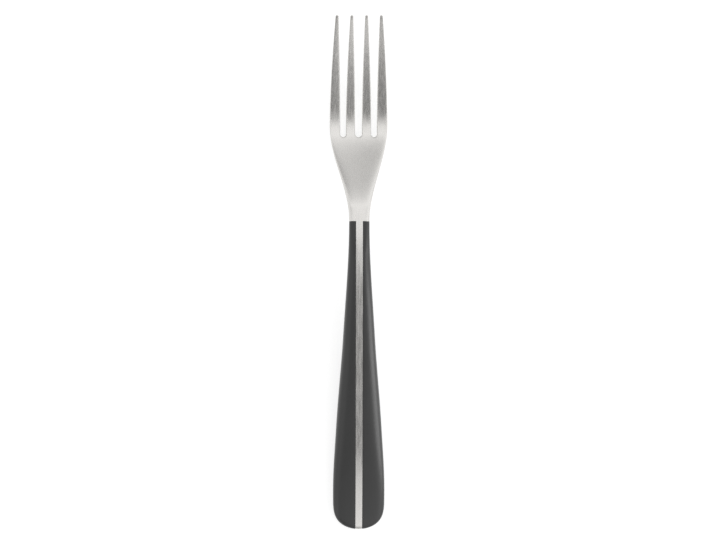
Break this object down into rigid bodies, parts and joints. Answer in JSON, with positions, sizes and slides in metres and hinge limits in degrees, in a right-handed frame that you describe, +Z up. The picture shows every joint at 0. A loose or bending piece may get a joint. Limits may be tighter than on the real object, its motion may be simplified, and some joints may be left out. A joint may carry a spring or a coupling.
{
  "type": "table fork",
  "caption": "Table fork: tapering steel tines on a dished head and slim neck, with a full tang on edge between dark handle scales that flare to a rounded butt.",
  "frame": {"origin": "middle of the fork's length and width, on the surface that it lies on, face up", "axes": "+Y along the fork towards the tine tips, +X across it to the right as seen from above, +Z up out of its face"},
  "size_m": [0.0238, 0.21, 0.016],
  "materials": {
    "satin_steel": "stainless steel with a satin finish brushed along its length",
    "scale_plastic": "dark grey moulded acetal, satin",
    "pin_steel": "plain turned stainless steel"
  },
  "bodies": {
    "root": {"fork_head": "satin_steel", "left_scale": "scale_plastic", "right_scale": "scale_plastic", "rear_pin": "pin_steel", "middle_pin": "pin_steel", "front_pin": "pin_steel"}
  },
  "joints": []
}
